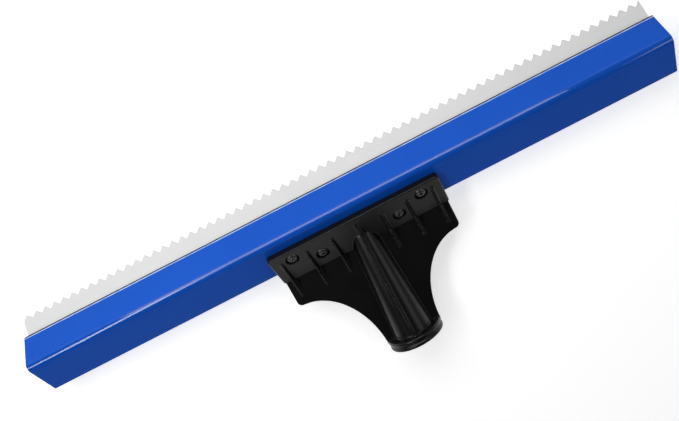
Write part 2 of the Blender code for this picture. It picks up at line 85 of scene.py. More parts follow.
# Clamp
STRIP_THICKNESS = 0.003
STRIP_WIDTH = 0.016
STRIP_EDGE = 0.0005
STRIP_END_MARGIN = 0.002
CLAMP_LINE = 0.0110
CLAMP_SCREWS = 7
CLAMP_END_DISTANCE = 0.020
CLAMP_SHANK_RADIUS = 0.0025
CLAMP_HEX_FLATS = 0.008
CLAMP_HEX_HEIGHT = 0.0038
CLAMP_COLLAR_RADIUS = 0.0052
CLAMP_COLLAR_HEIGHT = 0.0012
CLAMP_PROTRUSION = 0.0017

# Handle bracket
FLANGE_WIDTH = 0.162
FLANGE_HEIGHT = 0.0357
FLANGE_THICKNESS = 0.0062
FLANGE_CORNER = 0.0025
FLANGE_EDGE = 0.0006
SEAT_ALLOWANCE = 0.0012
OVERHANG = 0.0077
LIP_THICKNESS = 0.0035
LIP_HEIGHT = 0.0055
LIP_WIDTH = 0.156
PLATE_THICKNESS = 0.0044
PLATE_EDGE = 0.0012
PLATE_HALF_WIDTH = 0.0797
PLATE_CORNER_HEIGHT = 0.0250
PLATE_CORNER_RADIUS = 0.0045
SCALLOP_WIDTH = 0.0504
SCALLOP_HEIGHT = 0.070
NECK_HALF_WIDTH = 0.0263
CORNER_ARC = radians(75)
SCALLOP_ARC = radians(-97)
SOCKET_SLOPE = radians(36.4)
SOCKET_TOP = -0.0125
SOCKET_TOP_RADIUS = 0.0120
SOCKET_END_RADIUS = 0.0185
SOCKET_TOP_ROUNDING = 0.003
RIM_START = 0.0910
RIM_END = 0.1000
RIM_RADIUS = 0.0260
RIM_GROOVE_DEPTH = 0.0012
RIM_GROOVE_WIDTH = 0.0012
RIM_ROUNDING = 0.0010
RIM_SOFTNESS = 0.0017
BORE_MOUTH_RADIUS = 0.0142
BORE_END_RADIUS = 0.0105
BORE_DEPTH = 0.092
FIN_THICKNESS = 0.002
FIN_START = 0.0072
FIN_HEIGHT = 0.0190
RIB_THICKNESS = 0.002
RIB_PITCH = 0.0240
RIB_START = 0.0082
RIB_REACH = 0.0190
RIBS_A_SIDE = 3
MOULD_CELL = 0.0005
MOULD_SOFTENING = 0.5
MOULD_SMOOTHING = 6
MOULD_KEPT = 0.25  # of the remeshed faces

# Bracket screws, washers and lock nuts
OUTER_SCREW_X = 0.0616
INNER_SCREW_X = 0.0370
OUTER_SCREW_ABOVE_EDGE = 0.0173
INNER_SCREW_ABOVE_EDGE = 0.0060
SCREW_SHANK_RADIUS = 0.0024
SCREW_HEAD_RADIUS = 0.00485
SCREW_HEAD_HEIGHT = 0.0033
SCREW_HEAD_SIDE = 0.0012
SCREW_PROTRUSION = 0.0015
POCKET_RADIUS = 0.0060
POCKET_DEPTH = 0.0032
POCKET_CLEAR = 0.012
RECESS_LENGTH = 0.0050
RECESS_WIDTH = 0.0011
RECESS_DEPTH = 0.0017
RECESS_TAPER = 0.6  # of the recess's floor to its mouth
RECESS_FILLET = 1.5  # of an arm's half width, where two arms meet
RECESS_TURN = radians(25)
WASHER_RADIUS = 0.0050
WASHER_THICKNESS = 0.001
WASHER_EDGE = 0.0002
NUT_FLATS = 0.008
NUT_HEX_HEIGHT = 0.0038
NUT_COLLAR_RADIUS = 0.0036
NUT_COLLAR_HEIGHT = 0.0012
NYLON_RADIUS = 0.0031
THREAD_PITCH = 0.0008
THREAD_DEPTH = 0.00035
THREAD_FLAT = 0.15  # of half a pitch, at the root
THREAD_FLANK = 0.7  # of half a pitch, from root to crest
HEX_CHAMFER = radians(30)

# Marks on edges, and how finely round shapes are drawn
EDGE_WIDEST = 0.0016  # of a face that counts as an edge
EDGE_LEAST = radians(4)  # turn at which an edge starts to count
EDGE_FULL = radians(22)  # turn from which it counts in full
MOST_OF_SIDE = 0.45  # that the curve at a corner may take
TURNED_STEPS = 64
SOCKET_STEPS = 96

# Places that follow from the sizes
FOLD_OUTSIDE = FOLD_INSIDE + SHEET
FOLD_CENTRE = (FOLD_OUTSIDE, FRONT_WALL - FOLD_OUTSIDE)
BLADE_FRONT = -(FOLD_OUTSIDE + GAP)
BLADE_BACK = BLADE_FRONT - BLADE_THICKNESS
STRIP_FRONT = BLADE_BACK - GAP
STRIP_BACK = STRIP_FRONT - STRIP_THICKNESS
HALF_TEETH = floor(2 * (HOLDER_LENGTH - 2 * BLADE_MARGIN) / PITCH)
BLADE_LENGTH = HALF_TEETH * PITCH / 2
FLANGE_BOTTOM = TOP_WALL + OVERHANG
FLANGE_TOP = FLANGE_BOTTOM - FLANGE_HEIGHT
FLANGE_BACK = -GAP
FLANGE_FRONT = FLANGE_BACK - FLANGE_THICKNESS
POCKET_FLOOR = FLANGE_FRONT + POCKET_DEPTH
SOCKET_AXIS_ORIGIN = (
    FLANGE_BOTTOM + sin(SOCKET_SLOPE) * PLATE_THICKNESS / 2,
    FLANGE_FRONT + cos(SOCKET_SLOPE) * PLATE_THICKNESS / 2,
)
SCREW_PLACES = [
    (-OUTER_SCREW_X, TOP_WALL - OUTER_SCREW_ABOVE_EDGE),
    (-INNER_SCREW_X, TOP_WALL - INNER_SCREW_ABOVE_EDGE),
    (INNER_SCREW_X, TOP_WALL - INNER_SCREW_ABOVE_EDGE),
    (OUTER_SCREW_X, TOP_WALL - OUTER_SCREW_ABOVE_EDGE),
]
CLAMP_PLACES = [
    ((i / (CLAMP_SCREWS - 1) - 0.5) * (HOLDER_LENGTH - 2 * CLAMP_END_DISTANCE), -CLAMP_LINE)
    for i in range(CLAMP_SCREWS)
]


# --- camera, lights and floor ---

CAMERA_PLACE = Vector((0.07035, 0.22590, 0.74820))
CAMERA_BACK = Vector((0.03902, 0.26237, 0.96418))
CAMERA_UP = Vector((0.45484, 0.85449, -0.25093))
CAMERA_LENS = 45.9
CAMERA_SHIFT = (-0.0890, -0.0093)
HORIZON = (0.80, 0.80, 0.83, 1)
CEILING = (0.035, 0.035, 0.035, 1)
CEILING_FROM = 0.3  # height, of the whole, at which the ceiling is at its darkest
FLOOR_REACH = 4.0
FLOOR_DEPTH = 0.01
FLOOR_GLOW = 0.6
FLOOR_LIGHT = (0.92, 0.92, 0.92)
FLOOR_DARK = (0.90, 0.90, 0.90)


def make_camera():
    data = bpy.data.cameras.new("camera")
    data.lens = CAMERA_LENS
    data.shift_x, data.shift_y = CAMERA_SHIFT
    camera = bpy.data.objects.new("camera", data)
    bpy.context.scene.collection.objects.link(camera)
    back = CAMERA_BACK.normalized()
    right = CAMERA_UP.cross(back).normalized()
    turn = Matrix((right, back.cross(right), back)).transposed()
    camera.matrix_world = Matrix.Translation(CAMERA_PLACE) @ turn.to_4x4()
    bpy.context.scene.camera = camera


def make_light(name, place, target, size, power):
    data = bpy.data.lights.new(name, "AREA")
    data.shape = "RECTANGLE"
    data.size, data.size_y = size
    data.energy = power
    light = bpy.data.objects.new(name, data)
    bpy.context.scene.collection.objects.link(light)
    light.location = place
    light.rotation_euler = (Vector(target) - Vector(place)).to_track_quat("-Z", "Y").to_euler()


def make_lights():
    middle = (0, 0.03, 0.03)
    make_light("softbox_left", (-0.57, 0.22, 0.85), (-0.25, 0.05, 0.03), (0.62, 0.20), 2.4)
    make_light("softbox_back", (-0.06, 0.56, 0.50), middle, (0.8, 0.5), 2.9)
    make_light("softbox_right", (0.68, -0.15, 0.72), (0.02, -0.05, 0.03), (0.45, 0.45), 0.85)
    make_light("softbox_front", (-0.25, -0.85, 0.42), (0.02, -0.05, 0.03), (0.30, 0.12), 0.4)


def make_surroundings():
    """A pale horizon under a darker ceiling."""
    world = bpy.data.worlds.new("studio")
    bpy.context.scene.world = world
    world.use_nodes = True
    tree = world.node_tree
    direction = tree.nodes.new("ShaderNodeTexCoord")
    height = tree.nodes.new("ShaderNodeSeparateXYZ")
    ramp = tree.nodes.new("ShaderNodeValToRGB")
    ramp.color_ramp.elements[0].color = HORIZON
    ramp.color_ramp.elements[1].color = CEILING
    ramp.color_ramp.elements[1].position = CEILING_FROM
    tree.links.new(direction.outputs["Generated"], height.inputs[0])
    tree.links.new(height.outputs["Z"], ramp.inputs[0])
    tree.links.new(ramp.outputs[0], tree.nodes["Background"].inputs["Color"])


# --- shader maths ---


class Level:
    """A number that varies over a surface. Arithmetic on it adds Math nodes."""

    def __init__(self, finish, socket):
        self.finish = finish
        self.socket = socket

    def maths(self, operation, first, second):
        return self.finish.node("ShaderNodeMath", {"operation": operation}, {0: first, 1: second})

    def __add__(self, other):
        return self.maths("ADD", self, other)

    def __sub__(self, other):
        return self.maths("SUBTRACT", self, other)

    def __rsub__(self, other):
        return self.maths("SUBTRACT", other, self)

    def __mul__(self, other):
        return self.maths("MULTIPLY", self, other)

    __radd__ = __add__


class Finish:
    """A material built round one Principled shader."""

    def __init__(self, name, **fixed):
        self.material = bpy.data.materials.new(name)
        self.material.use_nodes = True
        self.tree = self.material.node_tree
        self.shader = self.tree.nodes["Principled BSDF"]
        for socket, value in fixed.items():
            self.shader.inputs[socket.replace("_", " ")].default_value = value
        self.place = self.node("ShaderNodeTexCoord", output="Object")

    def fill(self, node, sockets):
        for socket, value in sockets.items():
            if isinstance(value, Level):
                self.tree.links.new(value.socket, node.inputs[socket])
            else:
                node.inputs[socket].default_value = value

    def node(self, kind, settings=None, sockets=None, output=0):
        """A node of any kind: its settings are set first, then its sockets are given values or links."""
        node = self.tree.nodes.new(kind)
        for setting, value in (settings or {}).items():
            setattr(node, setting, value)
        self.fill(node, sockets or {})
        return Level(self, node.outputs[output])

    def noise(self, cell, detail=2.0, stretch=(1, 1, 1), roughness=0.5):
        """Noise from 0 to 1 whose features are about this many metres across, times stretch."""
        scaled = self.node(
            "ShaderNodeVectorMath",
            {"operation": "DIVIDE"},
            {0: self.place, 1: tuple(cell * s for s in stretch)},
        )
        sockets = {"Vector": scaled, "Scale": 1.0, "Detail": detail, "Roughness": roughness}
        return self.node("ShaderNodeTexNoise", {}, sockets)

    def specks(self, cell, radius):
        """1 on scattered dots, at most one in each cell."""
        scaled = self.node(
            "ShaderNodeVectorMath", {"operation": "DIVIDE"}, {0: self.place, 1: (cell, cell, cell)}
        )
        cells = {"Vector": scaled, "Scale": 1.0}
        distance = self.node("ShaderNodeTexVoronoi", {}, cells, output="Distance")
        return self.step(distance, radius / cell, radius / cell / 2)

    def step(self, value, start, end):
        """0 at start and 1 at end, smooth between."""
        return self.node(
            "ShaderNodeMapRange",
            {"interpolation_type": "SMOOTHSTEP"},
            {"Value": value, "From Min": start, "From Max": end},
        )

    def mark(self, name):
        """What the mesh says in its attribute of this name, from 0 to 1."""
        return self.node("ShaderNodeAttribute", {"attribute_name": name}, output="Fac")

    def edges(self):
        """1 on convex edges, 0 on faces."""
        return self.mark("edge")

    def mix(self, share, first, second):
        """Colours, of which share of the second."""
        first, second = (c if isinstance(c, Level) else (*c, 1) for c in (first, second))
        return self.node("ShaderNodeMix", {"data_type": "RGBA"}, {0: share, 6: first, 7: second}, output=2)

    def bump(self, height, depth):
        """A normal from a height of 0 to 1 that stands for this many metres."""
        return self.node("ShaderNodeBump", {}, {"Height": height, "Distance": depth, "Strength": 1.0})

    def done(self, **varying):
        self.fill(self.shader, {socket.replace("_", " "): value for socket, value in varying.items()})
        return self.material


# --- finishes ---

BLUE = (0.0045, 0.102, 0.62)
BLUE_DEEP = (0.0035, 0.088, 0.56)
# near-black blue, painted shade on the holder's edges and on the outside of the fold
BLUE_PAINTED_SHADE = (0.001, 0.008, 0.05)
# pale blue, a painted highlight on the wall beside the fold
BLUE_PAINTED_HIGHLIGHT = (0.50, 0.66, 0.92)
DUST = (0.30, 0.42, 0.78)


def blue_enamel():
    finish = Finish("blue_enamel", IOR=1.5, Specular_IOR_Level=0.06, Coat_Roughness=0.05, Coat_IOR=1.7)
    bend = finish.mark("bend")
    cloud = finish.noise(0.045, detail=3)
    peel = finish.noise(0.0016, detail=1)
    fine = finish.noise(0.0004, detail=2)
    drawn = finish.noise(0.0011, detail=2, stretch=(26, 1, 1))
    scuff = finish.step(drawn, 0.70, 0.80) * finish.step(finish.noise(0.03), 0.50, 0.66)
    dots = finish.specks(0.011, 0.00022) * finish.step(finish.noise(0.02), 0.50, 0.60)
    fold = finish.mark("fold")
    highlight_breakup = finish.step(finish.noise(0.01, detail=4), 0.42, 0.62)
    colour = finish.mix(cloud, BLUE_DEEP, BLUE)
    # Painted shade: the sheet's convex edges are painted near-black.
    edges = finish.step(finish.edges(), 0.2, 0.8)
    colour = finish.mix(edges, colour, BLUE_PAINTED_SHADE)
    # Painted highlight: a pale line on the wall beside the fold, its strength varied by noise.
    colour = finish.mix(finish.step(fold, 0.05, 0.12) * (0.95 - highlight_breakup * 0.3), colour, BLUE_PAINTED_HIGHLIGHT)
    # Painted shade: the fold itself is painted near-black.
    beyond = finish.step(fold, 0.38, 0.44)
    colour = finish.mix(beyond, colour, BLUE_PAINTED_SHADE)
    colour = finish.mix(dots * 0.6, colour, DUST)
    rough = 0.26 + cloud * 0.08 + scuff * 0.14 + dots * 0.2 + edges * 0.6 + beyond * 0.6
    height = peel * 0.8 + fine * 0.12 + dots * 0.5 - scuff * 0.1
    coat = 0.03 + cloud * 0.03 + bend * 0.9 - edges * 0.03
    normal = finish.bump(height, 0.00001)
    return finish.done(Base_Color=colour, Roughness=rough, Coat_Weight=coat, Normal=normal)


RUBBER = (0.88, 0.88, 0.875)
RUBBER_SHADE = (0.83, 0.83, 0.83)
# darker grey, painted shade on the blade's edges
RUBBER_EDGE_SHADE = (0.78, 0.78, 0.785)


def pale_rubber():
    finish = Finish("pale_rubber", IOR=1.5, Specular_IOR_Level=0.35)
    cloud = finish.noise(0.03, detail=4)
    grain = finish.noise(0.00035, detail=3)
    flow = finish.noise(0.002, detail=2, stretch=(1, 9, 1))
    pits = finish.specks(0.004, 0.00012)
    colour = finish.mix(finish.step(cloud, 0.35, 0.75) * 0.4, RUBBER, RUBBER_SHADE)
    # Painted shade: the blade's convex edges are painted darker.
    colour = finish.mix(finish.edges() * 0.55, colour, RUBBER_EDGE_SHADE)
    rough = 0.58 + cloud * 0.16 - finish.edges() * 0.08
    height = grain * 0.6 + flow * 0.5 - pits * 0.8
    return finish.done(Base_Color=colour, Roughness=rough, Normal=finish.bump(height, 0.00002))


BLACK = (0.0036, 0.0036, 0.0039)
BLACK_WORN = (0.0052, 0.0052, 0.0054)
BLACK_RUBBED = (0.014, 0.014, 0.015)


def black_moulding():
    finish = Finish("black_moulding", IOR=1.5, Specular_IOR_Level=0.35)
    cloud = finish.noise(0.02, detail=3)
    spark = finish.noise(0.00045, detail=3, roughness=0.6)
    flow = finish.noise(0.006, detail=2, stretch=(1, 4, 4))
    edges = finish.step(finish.edges(), 0.25, 0.60)
    rubbed = edges * finish.step(finish.noise(0.002, detail=3), 0.35, 0.60)
    colour = finish.mix(rubbed * 0.6, finish.mix(cloud * 0.5, BLACK, BLACK_WORN), BLACK_RUBBED)
    rough = 0.26 + cloud * 0.12 - edges * 0.06
    height = spark * 0.7 + flow * 0.4
    return finish.done(Base_Color=colour, Roughness=rough, Normal=finish.bump(height, 0.000025))


OXIDE = (0.12, 0.12, 0.124)
OXIDE_WORN = (0.20, 0.20, 0.19)
OXIDE_RUBBED = (0.42, 0.42, 0.43)


def black_oxide():
    finish = Finish("black_oxide", IOR=1.5, Metallic=1.0)
    cloud = finish.noise(0.002, detail=3)
    grain = finish.noise(0.0002, detail=3)
    rubbed = finish.edges() * finish.step(finish.noise(0.0008, detail=3), 0.35, 0.60)
    colour = finish.mix(cloud * 0.5, OXIDE, OXIDE_WORN)
    colour = finish.mix(rubbed * 0.7, colour, OXIDE_RUBBED)
    rough = 0.34 + cloud * 0.18 - rubbed * 0.1
    return finish.done(Base_Color=colour, Roughness=rough, Normal=finish.bump(grain, 0.000012))


ZINC_COOL = (0.56, 0.57, 0.59)
ZINC_WARM = (0.64, 0.62, 0.55)
ZINC_RUBBED = (0.74, 0.74, 0.73)


def zinc_plate(name, stretch):
    """Zinc plate, with the drawing marks of the metal below it along the given stretch."""
    finish = Finish(name, IOR=1.5, Metallic=1.0)
    cloud = finish.noise(0.006, detail=3)
    drawn = finish.noise(0.0003, detail=2, stretch=stretch)
    rubbed = finish.edges() * finish.step(finish.noise(0.001, detail=3), 0.40, 0.62)
    colour = finish.mix(finish.step(cloud, 0.3, 0.7), ZINC_COOL, ZINC_WARM)
    colour = finish.mix(rubbed * 0.6, colour, ZINC_RUBBED)
    rough = 0.26 + cloud * 0.16 + drawn * 0.08
    return finish.done(Base_Color=colour, Roughness=rough, Normal=finish.bump(drawn, 0.000008))


NYLON_DARK = (0.52, 0.58, 0.66)
NYLON_PALE = (0.62, 0.67, 0.72)


def nylon():
    finish = Finish("nylon", IOR=1.53)
    cloud = finish.noise(0.0015, detail=3)
    colour = finish.mix(cloud, NYLON_DARK, NYLON_PALE)
    return finish.done(Base_Color=colour, Roughness=0.38 + cloud * 0.15, Normal=finish.bump(cloud, 0.00003))


def studio_floor():
    finish = Finish(
        "studio_floor",
        IOR=1.45,
        Specular_IOR_Level=0.1,
        Emission_Color=(1, 1, 1, 1),
        Emission_Strength=FLOOR_GLOW,
    )
    cloud = finish.noise(0.4, detail=2)
    colour = finish.mix(cloud, FLOOR_DARK, FLOOR_LIGHT)
    return finish.done(Base_Color=colour, Roughness=0.7 + cloud * 0.1)


# --- shapes, each a mesh ---


def taken(obj):
    """The mesh of an object with its modifiers applied. The object is removed."""
    bpy.context.view_layer.update()
    graph = bpy.context.evaluated_depsgraph_get()
    mesh = bpy.data.meshes.new_from_object(obj.evaluated_get(graph))
    bpy.data.objects.remove(obj)
    return mesh


def carried(mesh, name="work"):
    obj = bpy.data.objects.new(name, mesh)
    bpy.context.scene.collection.objects.link(obj)
    return obj


def worked(mesh, *steps):
    """The mesh after these modifiers, each a kind and its settings."""
    obj = carried(mesh)
    for kind, settings in steps:
        modifier = obj.modifiers.new(kind.lower(), kind)
        for setting, value in settings.items():
            setattr(modifier, setting, value)
    return taken(obj)


def bevelled(mesh, width, segments=3, limit=40):
    bevel = {"width": width, "segments": segments, "limit_method": "ANGLE", "angle_limit": radians(limit)}
    return worked(mesh, ("BEVEL", bevel))


def combined(mesh, tools, operation):
    """The mesh after a Boolean with each tool in turn."""
    for tool in tools:
        cutter = carried(tool, "cutter")
        boolean = {"operation": operation, "solver": "EXACT", "object": cutter}
        mesh = worked(mesh, ("BOOLEAN", boolean), ("WELD", {"merge_threshold": WELD}))
        bpy.data.objects.remove(cutter)
    return mesh


def from_bmesh(shape):
    bmesh.ops.recalc_face_normals(shape, faces=shape.faces)
    mesh = bpy.data.meshes.new("shape")
    shape.to_mesh(mesh)
    shape.free()
    return mesh


def prism(outline, low, high, taper=1.0):
    """An outline in XY, from z = low to z = high. Taper scales its low end."""
    shape = bmesh.new()
    bottom = [shape.verts.new((x * taper, y * taper, low)) for x, y in outline]
    top = [shape.verts.new((x, y, high)) for x, y in outline]
    shape.faces.new(bottom)
    shape.faces.new(top)
    for i, j in zip(range(len(outline)), [*range(1, len(outline)), 0]):
        shape.faces.new((bottom[i], bottom[j], top[j], top[i]))
    return from_bmesh(shape)


def box(low, high):
    outline = [(low[0], low[1]), (high[0], low[1]), (high[0], high[1]), (low[0], high[1])]
    return prism(outline, low[2], high[2])


def turned(profile, steps=TURNED_STEPS):
    """A closed turned shape about Z, from (radius, z) points that start and end on the axis, or a ring."""
    shape = bmesh.new()
    rings = []
    for radius, z in profile:
        if radius == 0:
            rings.append([shape.verts.new((0, 0, z))] * steps)
        else:
            angles = [tau * i / steps for i in range(steps)]
            rings.append([shape.verts.new((radius * cos(a), radius * sin(a), z)) for a in angles])
    if profile[0][0] > 0:
        rings.append(rings[0])
    for first, second in zip(rings, rings[1:]):
        for i in range(steps):
            j = (i + 1) % steps
            corners = dict.fromkeys((first[i], first[j], second[j], second[i]))
            shape.faces.new(tuple(corners))
    return from_bmesh(shape)


def rods(places, radius, low, high, steps=48):
    """One mesh for each upright cylinder."""
    circle = [(cos(tau * i / steps) * radius, sin(tau * i / steps) * radius) for i in range(steps)]
    return [prism([(x + dx, y + dy) for dx, dy in circle], low, high) for x, y in places]


def threaded_rod(radius, low, high, steps=28, rows=8):
    """A shank with a helical thread, chamfered at z = high."""
    count = ceil((high - low) / THREAD_PITCH * rows)
    shape = bmesh.new()
    rings = []
    for i in range(count + 1):
        z = low + (high - low) * i / count
        ring = []
        for j in range(steps):
            phase = (z / THREAD_PITCH - j / steps) % 1
            crest = min(1, max(0, (abs(2 * phase - 1) - THREAD_FLAT) / THREAD_FLANK))
            r = min(radius - THREAD_DEPTH * (1 - crest), radius - THREAD_DEPTH * 2 + (high - z))
            ring.append(shape.verts.new((r * cos(tau * j / steps), r * sin(tau * j / steps), z)))
        rings.append(ring)
    shape.faces.new(rings[0])
    shape.faces.new(rings[-1])
    for first, second in zip(rings, rings[1:]):
        for j in range(steps):
            k = (j + 1) % steps
            shape.faces.new((first[j], first[k], second[k], second[j]))
    return from_bmesh(shape)


def hexagon(flats, low, high, chamfer_high=True):
    """A hexagonal prism whose corners are turned off at its low end, and at its high end if asked."""
    corner = flats / sqrt(3)
    rise = (corner - flats / 2) * sin(HEX_CHAMFER) / cos(HEX_CHAMFER)
    reach = corner + CUT
    drop = CUT * sin(HEX_CHAMFER) / cos(HEX_CHAMFER)
    body = prism([(corner * cos(tau * i / 6), corner * sin(tau * i / 6)) for i in range(6)], low, high)
    start = [(0, low), (flats / 2, low), (reach, low + rise + drop)]
    if chamfer_high:
        end = [(reach, high - rise - drop), (flats / 2, high), (0, high)]
    else:
        end = [(reach, high + CUT), (0, high + CUT)]
    return combined(body, [turned(start + end)], "INTERSECT")


def arc(centre, radius, start, end, steps):
    """Points on an arc, or on part of an ellipse where radius is a pair."""
    wide, high = radius if isinstance(radius, tuple) else (radius, radius)
    angles = [start + (end - start) * i / steps for i in range(steps + 1)]
    return [(centre[0] + wide * cos(a), centre[1] + high * sin(a)) for a in angles]


def softened(outline, radius, steps=3):
    """The outline with each corner replaced by a short curve that starts this far from it."""
    points = []
    for before, corner, after in zip([outline[-1], *outline], outline, [*outline[1:], outline[0]]):
        corner = Vector(corner)
        reaches = []
        for other in (before, after):
            side = Vector(other) - corner
            reaches.append(corner + side * min(MOST_OF_SIDE, radius / side.length))
        for i in range(steps + 1):
            t = i / steps
            points.append(tuple((1 - t) ** 2 * reaches[0] + 2 * t * (1 - t) * corner + t * t * reaches[1]))
    return points


def mirrored(right_side):
    return right_side + [(-x, y) for x, y in reversed(right_side)]


def placed(mesh, matrix):
    mesh.transform(matrix)
    return mesh


# --- pieces on the model ---


def mark_edges(mesh, spread):
    """Writes the attribute "edge" on points or faces: how convex a narrow face's surroundings are.

    A plain mesh has long faces, so only their longest edges count. On a fine mesh, spread is how often
    the values are shared between neighbouring points.
    """
    shape = bmesh.new()
    shape.from_mesh(mesh)
    angles = [e.calc_face_angle_signed(0) for e in shape.edges]
    sharp = [min(1, max(0, (angle - EDGE_LEAST) / (EDGE_FULL - EDGE_LEAST))) for angle in angles]
    if spread:
        values = [max((sharp[e.index] for e in v.link_edges), default=0) for v in shape.verts]
        around = [[e.other_vert(v).index for e in v.link_edges] for v in shape.verts]
        for _ in range(spread):
            sums = [own + sum(values[i] for i in near) for own, near in zip(values, around)]
            values = [total / (1 + len(near)) for total, near in zip(sums, around)]
    else:
        values = []
        for face in shape.faces:
            narrow = min(e.calc_length() for e in face.edges) < EDGE_WIDEST and len(face.verts) < 5
            longest = max(face.edges, key=lambda e: e.calc_length())
            values.append(sharp[longest.index] * narrow)
    shape.free()
    attribute = mesh.attributes.new("edge", "FLOAT", "POINT" if spread else "FACE")
    attribute.data.foreach_set("value", values)


def show(name, mesh, matrix, finish, slot, *nodes, smooth=30, spread=0):
    """Puts a mesh on the model in place of CAD nodes."""
    mesh.transform(matrix)
    mark_edges(mesh, spread)
    mesh.shade_smooth()
    mesh.set_sharp_from_angle(angle=radians(smooth))
    mesh = worked(mesh, ("WEIGHTED_NORMAL", {"keep_sharp": True, "weight": 100}))
    mesh.name = name
    mesh.materials.clear()
    mesh.materials.append(finish)
    piece = carried(mesh, name)
    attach(piece, "root")
    if nodes:
        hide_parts(*nodes)


# --- holder ---


def holder_section():
    """The folded sheet in (Y, Z): its outer side from the rear edge to the return flange, then back."""
    bend = (BEND_RADIUS, BEND_RADIUS)
    along = (sin(LEAN), -cos(LEAN))
    across = (cos(LEAN), sin(LEAN))

    def flange_end(offset):
        return tuple(c + RETURN_FLANGE * a + offset * n for c, a, n in zip(FOLD_CENTRE, along, across))

    outer = [(TOP_WALL, 0), *arc(bend, BEND_RADIUS, 1.5 * pi, pi, 16), (0, FOLD_CENTRE[1] - FOLD_MARGIN)]
    outer += arc(FOLD_CENTRE, FOLD_OUTSIDE, pi, LEAN, 18)
    inner = arc(FOLD_CENTRE, FOLD_INSIDE, LEAN, pi, 6)
    inner += arc(bend, BEND_RADIUS - SHEET, pi, 1.5 * pi, 12)
    return [*outer, flange_end(FOLD_OUTSIDE), flange_end(FOLD_INSIDE), *inner, (TOP_WALL, SHEET)]


def mark_roundings(mesh):
    """Writes point attributes: "bend" is 1 in the bend, "fold" is 0.5 at the fold's start and 1 beyond."""
    bend_end = BEND_RADIUS - ROUNDING_MARGIN
    fold_start = FOLD_CENTRE[1] - ROUNDING_MARGIN
    fold_on = FOLD_CENTRE[1] + ROUNDING_MARGIN
    bend = [float(v.co.y < bend_end and BEND_DULL < v.co.z < bend_end) for v in mesh.vertices]
    fold = [0.5 * (v.co.z > fold_start) + 0.5 * (v.co.z > fold_on) for v in mesh.vertices]
    mesh.attributes.new("bend", "FLOAT", "POINT").data.foreach_set("value", bend)
    mesh.attributes.new("fold", "FLOAT", "POINT").data.foreach_set("value", fold)


def make_holder():
    half = HOLDER_LENGTH / 2
    sheet = placed(prism(holder_section(), -half, half), ACROSS)
    holes = rods(SCREW_PLACES, SCREW_SHANK_RADIUS + GAP, -CUT, SHEET + CUT)
    clamp_holes = rods(CLAMP_PLACES, CLAMP_SHANK_RADIUS + GAP, -FOLD_OUTSIDE - CUT, CUT)
    into_section = SECTION.inverted() @ BLADE
    sheet = combined(sheet, holes + [placed(hole, into_section) for hole in clamp_holes], "DIFFERENCE")
    sheet = bevelled(sheet, SHEET_EDGE)
    mark_roundings(sheet)
    show("painted_holder", sheet, SECTION, BLUE_ENAMEL, "blue_paint", "frame_channel")


# --- blade and clamp ---


def blade_outline():
    """Teeth along +Y, from a notch at the left end to a tip at the right end."""
    left, right = -BLADE_LENGTH / 2, BLADE_LENGTH / 2
    root = BLADE_REACH - NOTCH_DEPTH
    teeth = [(left, root), (left + ROOT_FLAT / 2, root)]
    for i in range(1, HALF_TEETH + 1):
        middle = left + i * PITCH / 2
        flat, height = (TIP_FLAT, BLADE_REACH) if i % 2 else (ROOT_FLAT, root)
        teeth.append((middle - flat / 2, height))
        teeth.append((min(middle + flat / 2, right), height))
    teeth.pop()
    outline = [(left, -BLADE_GRIP), *teeth, (right, BLADE_REACH), (right, -BLADE_GRIP)]
    return softened(outline, TOOTH_ROUNDING)


def make_blade():
    holes = rods(CLAMP_PLACES, CLAMP_SHANK_RADIUS + GAP, BLADE_BACK - CUT, BLADE_FRONT + CUT)
    blade = bevelled(prism(blade_outline(), BLADE_BACK, BLADE_FRONT), BLADE_EDGE, segments=2, limit=60)
    blade = combined(blade, holes, "DIFFERENCE")
    show("rubber_blade", blade, BLADE, PALE_RUBBER, "grey_rubber", "notched_blade")


def make_strip():
    half = BLADE_LENGTH / 2 - STRIP_END_MARGIN
    low = (-half, -CLAMP_LINE - STRIP_WIDTH / 2, STRIP_BACK)
    high = (half, -CLAMP_LINE + STRIP_WIDTH / 2, STRIP_FRONT)
    holes = rods(CLAMP_PLACES, CLAMP_SHANK_RADIUS + GAP, STRIP_BACK - CUT, STRIP_FRONT + CUT)
    strip = bevelled(combined(box(low, high), holes, "DIFFERENCE"), STRIP_EDGE)
    show("pressure_strip", strip, BLADE, ZINC_DRAWN, "bright_steel", "clamp_strip")


def make_clamp_screws():
    seat = STRIP_BACK - GAP
    end = -FOLD_INSIDE + CLAMP_PROTRUSION
    bottom = seat - CLAMP_COLLAR_HEIGHT
    collar_edge = CLAMP_COLLAR_HEIGHT / 2
    collar = turned([
        (0, bottom),
        (CLAMP_COLLAR_RADIUS - collar_edge, bottom),
        *arc((CLAMP_COLLAR_RADIUS - collar_edge, bottom + collar_edge), collar_edge, -pi / 2, 0, 4)[1:],
        (CLAMP_COLLAR_RADIUS, seat),
        (0, seat),
    ])
    head = hexagon(CLAMP_HEX_FLATS, bottom - CLAMP_HEX_HEIGHT, seat - collar_edge, chamfer_high=False)
    shank = threaded_rod(CLAMP_SHANK_RADIUS, seat - collar_edge, end)
    screw = combined(head, [collar, shank], "UNION")
    for number, (x, y) in enumerate(CLAMP_PLACES, 1):
        turn = Matrix.Rotation(number * RECESS_TURN, 4, "Z")
        matrix = BLADE @ Matrix.Translation((x, y, 0)) @ turn
        show(f"hex_screw_{number}", screw.copy(), matrix, ZINC, "bright_steel", f"clamp_screw_{number}")


# --- handle bracket ---


